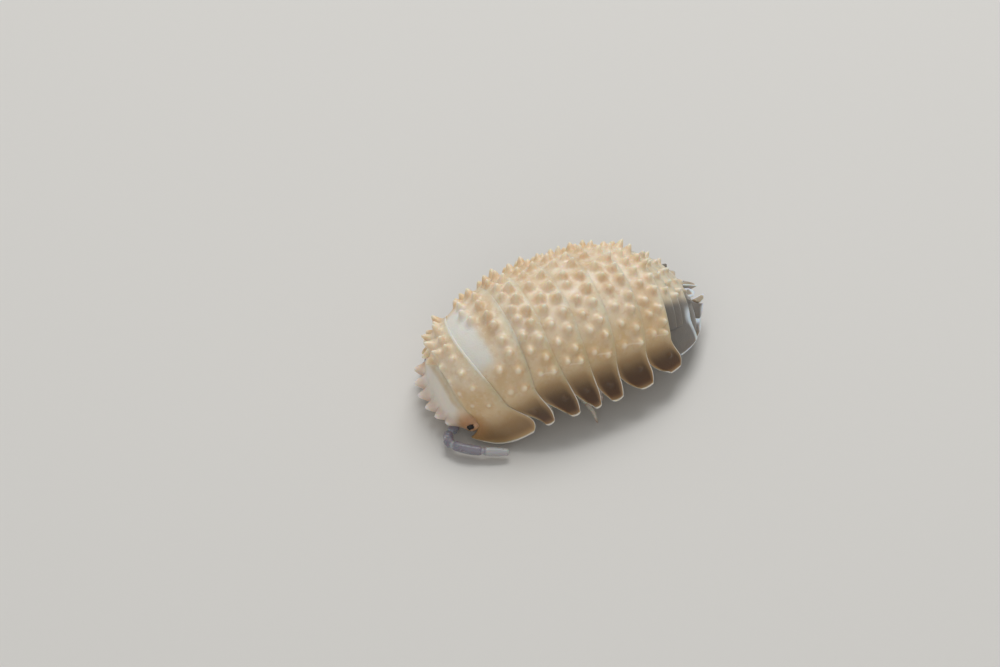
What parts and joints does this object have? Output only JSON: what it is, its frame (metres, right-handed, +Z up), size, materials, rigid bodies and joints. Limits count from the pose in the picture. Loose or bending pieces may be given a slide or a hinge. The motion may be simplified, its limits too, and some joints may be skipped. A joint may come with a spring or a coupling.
{
  "type": "spiny woodlouse model",
  "caption": "Life-size still model of a pale spiny woodlouse, standing with its head bowed and its feelers folded back.",
  "frame": {"origin": "on the floor under the middle of the animal's bounding box", "axes": "+Y towards the tail, +X towards the animal's left side, +Z up; the head points along -Y"},
  "size_m": [0.005, 0.0082, 0.0034],
  "materials": {
    "shell": "satin ivory cream",
    "tail": "satin translucent grey",
    "limb": "pale translucent",
    "eye": "glossy black-brown"
  },
  "bodies": {
    "root": {"shell_plate_1": "shell", "shell_plate_2": "shell", "shell_plate_3": "shell", "shell_plate_4": "shell", "shell_plate_5": "shell", "shell_plate_6": "shell", "shell_plate_7": "shell", "tail_plate_1": "tail", "tail_plate_2": "tail", "tail_plate_3": "tail", "tail_plate_4": "tail", "tail_plate_5": "tail", "telson": "tail", "uropod_left": "tail", "uropod_right": "tail", "head": "shell", "antenna_left": "limb", "antenna_right": "limb", "leg_1_left": "limb", "leg_1_right": "limb", "leg_2_left": "limb", "leg_2_right": "limb", "leg_3_left": "limb", "leg_3_right": "limb", "leg_4_left": "limb", "leg_4_right": "limb", "leg_5_left": "limb", "leg_5_right": "limb", "leg_6_left": "limb", "leg_6_right": "limb", "leg_7_left": "limb", "leg_7_right": "limb", "eye_left": "eye", "eye_right": "eye"}
  },
  "joints": []
}
